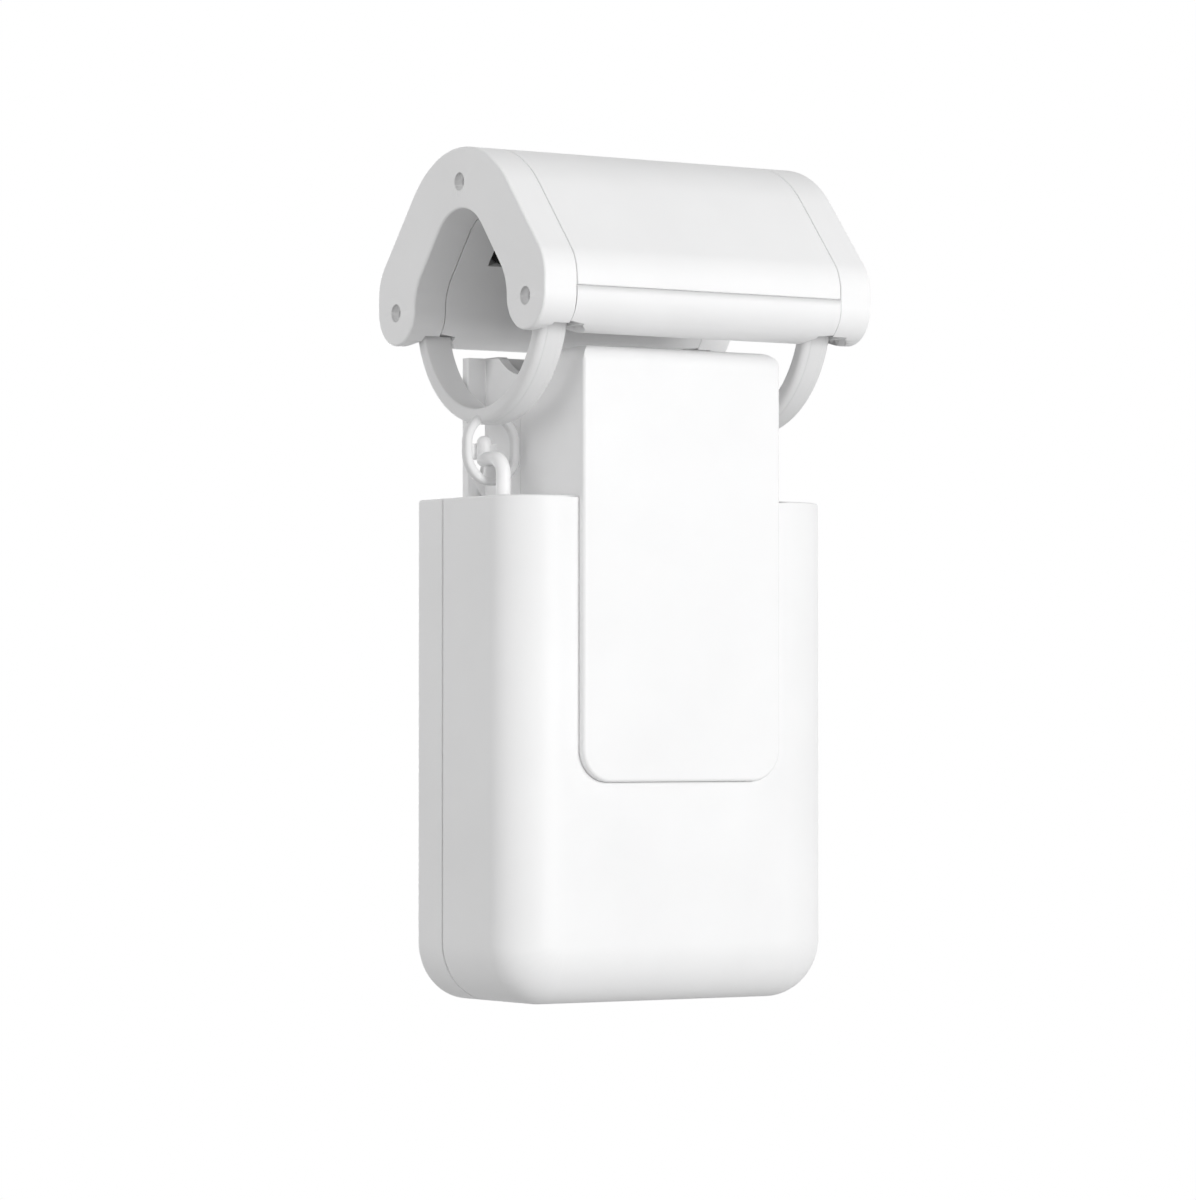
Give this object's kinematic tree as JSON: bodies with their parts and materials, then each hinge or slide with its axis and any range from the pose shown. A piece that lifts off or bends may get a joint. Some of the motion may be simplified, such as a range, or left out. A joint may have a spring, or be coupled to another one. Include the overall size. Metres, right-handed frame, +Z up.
{
  "type": "curtain robot",
  "caption": "Battery curtain robot that hangs from a round curtain rod: roller saddle on top, hinged straps with spring hooks, and a slim body whose driven wheel rolls along the rod.",
  "frame": {"origin": "on the axis of the curtain rod, midway along the saddle", "axes": "+X along the rod, +Y to the back of the body, +Z up"},
  "size_m": [0.0726, 0.059, 0.1581],
  "materials": {
    "shell_white": "fine satin moulded",
    "frame_white": "satin moulded",
    "rubber_black": "matte",
    "dark_plastic": "matte",
    "grey_plastic": "satin",
    "gear_plastic": "satin",
    "steel": "plain",
    "brass": "plain",
    "cell_sleeve": "wrapped sleeve",
    "board_green": "solder mask",
    "clear_plastic": "clear, frosted end"
  },
  "bodies": {
    "saddle": {"saddle_frame": "frame_white", "saddle_cover": "shell_white", "end_cap_left": "shell_white", "end_cap_right": "shell_white", "cap_screws": "steel", "roller_axles": "steel"},
    "idler_front_left": {"idler_hub_front_left": "dark_plastic", "idler_tyre_front_left": "rubber_black"},
    "idler_front_right": {"idler_hub_front_right": "dark_plastic", "idler_tyre_front_right": "rubber_black"},
    "idler_rear_left": {"idler_hub_rear_left": "dark_plastic", "idler_tyre_rear_left": "rubber_black"},
    "idler_rear_right": {"idler_hub_rear_right": "dark_plastic", "idler_tyre_rear_right": "rubber_black"},
    "cradle": {"strap_left": "shell_white", "strap_right": "shell_white", "pull_hook_left": "shell_white", "pull_hook_right": "shell_white", "hook_nuts": "steel", "hook_spring_left": "steel", "hook_spring_right": "steel"},
    "main_unit": {"front_shell": "shell_white", "rear_shell": "shell_white", "front_panel": "shell_white", "neck_rear_cover": "shell_white", "shell_screws": "steel", "axle_bushes": "brass", "compound_pin": "steel", "gear_motor": "steel", "motor_bracket": "steel", "battery_cells": "cell_sleeve", "battery_tray": "dark_plastic", "circuit_board": "board_green", "radio_module": "steel", "usb_socket": "steel", "tact_switch": "dark_plastic", "light_pipe": "clear_plastic"},
    "drive_wheel": {"wheel_hub": "grey_plastic", "wheel_tyre": "rubber_black", "wheel_axle": "steel", "wheel_gear": "gear_plastic"},
    "compound": {"compound_gear": "gear_plastic"},
    "pinion": {"motor_pinion": "brass"},
    "button": {"set_button": "grey_plastic"}
  },
  "joints": [
    {"name": "idler_front_left_spin", "type": "hinge", "parent": "saddle", "child": "idler_front_left", "pos_m": [-0.017, -0.01131, 0.01348], "axis": [0, 0.766, 0.6428], "continuous": true},
    {"name": "idler_front_right_spin", "type": "hinge", "parent": "saddle", "child": "idler_front_right", "pos_m": [0.017, -0.01131, 0.01348], "axis": [0, 0.766, 0.6428], "continuous": true},
    {"name": "idler_rear_left_spin", "type": "hinge", "parent": "saddle", "child": "idler_rear_left", "pos_m": [-0.017, 0.01131, 0.01348], "axis": [0, 0.766, -0.6428], "continuous": true},
    {"name": "idler_rear_right_spin", "type": "hinge", "parent": "saddle", "child": "idler_rear_right", "pos_m": [0.017, 0.01131, 0.01348], "axis": [0, 0.766, -0.6428], "continuous": true},
    {"name": "strap_swing", "type": "hinge", "parent": "saddle", "child": "cradle", "pos_m": [0, 0.0229, -0.001], "axis": [1, 0, 0], "range_deg": [0, 60]},
    {"name": "hook_travel", "type": "slide", "parent": "cradle", "child": "main_unit", "axis": [0, 0, -1], "range_m": [0, 0.006], "stiffness_N_per_m": 1800, "springref_m": -0.006, "deforming": ["hook_spring_left", "hook_spring_right"]},
    {"name": "wheel_spin", "type": "hinge", "parent": "main_unit", "child": "drive_wheel", "pos_m": [0, 0, -0.0256], "axis": [0, 1, 0], "continuous": true},
    {"name": "compound_spin", "type": "hinge", "parent": "main_unit", "child": "compound", "pos_m": [0, 0, -0.0424], "axis": [0, 1, 0], "continuous": true},
    {"name": "pinion_spin", "type": "hinge", "parent": "main_unit", "child": "pinion", "pos_m": [0, 0, -0.058], "axis": [0, 1, 0], "continuous": true},
    {"name": "button_press", "type": "slide", "parent": "main_unit", "child": "button", "axis": [0, 0, 1], "range_m": [0, 0.0006], "stiffness_N_per_m": 800, "springref_m": -0.0006}
  ],
  "couplings": [
    {"joint": "compound_spin", "follows": "wheel_spin", "ratio": -2.5},
    {"joint": "pinion_spin", "follows": "wheel_spin", "ratio": 8.3333}
  ]
}
